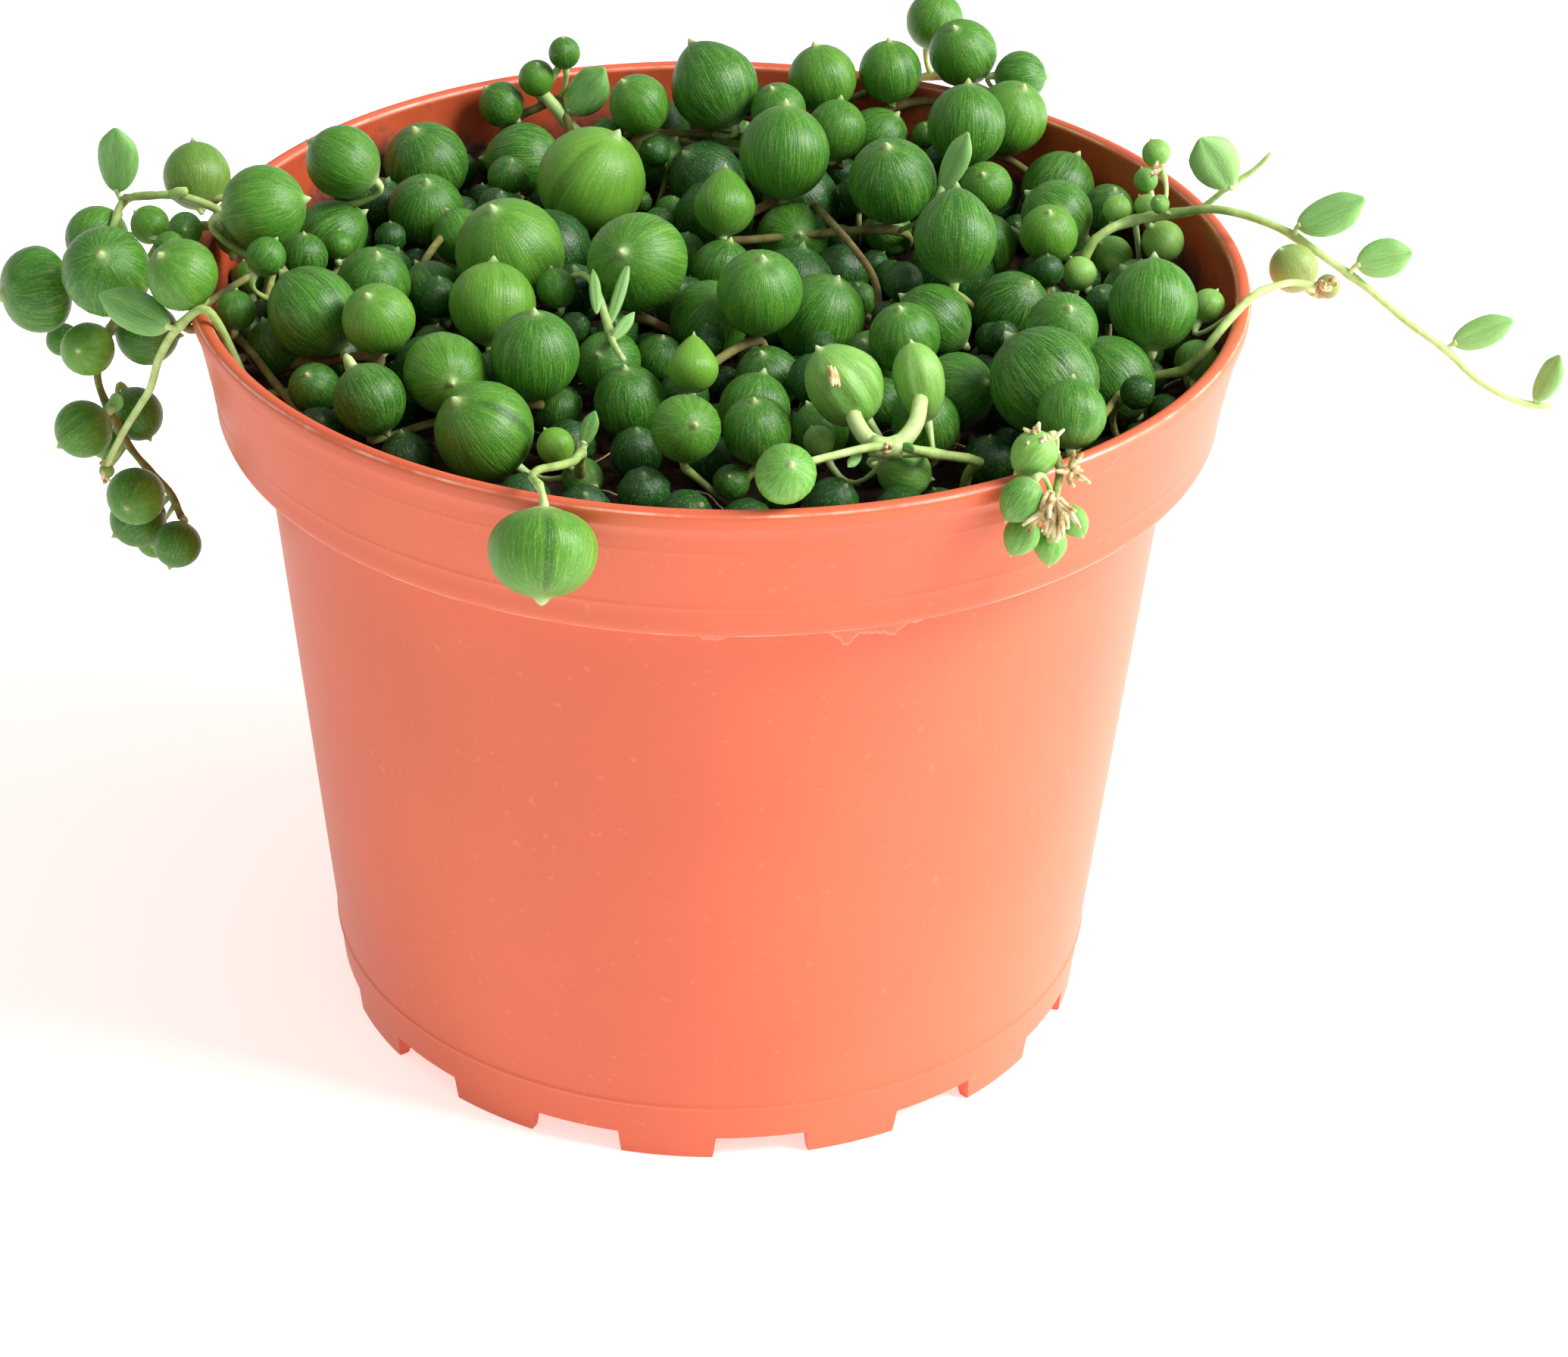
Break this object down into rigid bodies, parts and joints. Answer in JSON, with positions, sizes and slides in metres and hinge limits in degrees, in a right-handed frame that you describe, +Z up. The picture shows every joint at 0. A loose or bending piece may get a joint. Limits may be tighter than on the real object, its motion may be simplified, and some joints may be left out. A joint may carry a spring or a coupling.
{
  "type": "potted string of pearls",
  "caption": "String of pearls succulent in a tapered plastic nursery pot, with round bead leaves heaped over the soil and thin stems trailing past the rim.",
  "frame": {"origin": "centre of the whole model's box, on the surface that the pot's feet stand on; the pot's axis is 6.4 mm to the left of it and 2.1 mm behind it", "axes": "+Z up; +X to the right, towards the tip of the long vine; +Y to the back, so the pearl that hangs over the front rim is at -Y"},
  "size_m": [0.1568, 0.1168, 0.0915],
  "materials": {
    "moulded_plastic": "injection-moulded terracotta-coloured plastic, satin",
    "peat_soil": "damp dark peat potting mix with fine fibres and grit",
    "pearl_skin": "smooth waxy green leaf skin with fine lengthwise striping and a darker window stripe",
    "young_growth": "lighter waxy green skin of young stems and pearls"
  },
  "bodies": {
    "root": {"pot": "moulded_plastic", "soil": "peat_soil", "left_rim_strand": "pearl_skin", "left_inner_strand": "pearl_skin", "back_left_strand": "pearl_skin", "rear_left_strand": "pearl_skin", "rear_strand": "pearl_skin", "rear_right_strand": "pearl_skin", "centre_back_strand": "pearl_skin", "right_back_strand": "pearl_skin", "centre_strand": "pearl_skin", "left_centre_strand": "pearl_skin", "front_left_strand": "pearl_skin", "front_inner_strand": "pearl_skin", "front_centre_strand": "pearl_skin", "front_right_strand": "pearl_skin", "centre_right_strand": "pearl_skin", "right_front_strand": "pearl_skin", "right_rim_stalk": "young_growth", "flying_right_vine": "young_growth", "front_hanging_strand": "young_growth", "front_shoot": "young_growth", "bud_cluster": "young_growth", "left_trailing_strand": "young_growth", "left_upper_strand": "young_growth", "left_flower_stalk": "young_growth"}
  },
  "joints": []
}
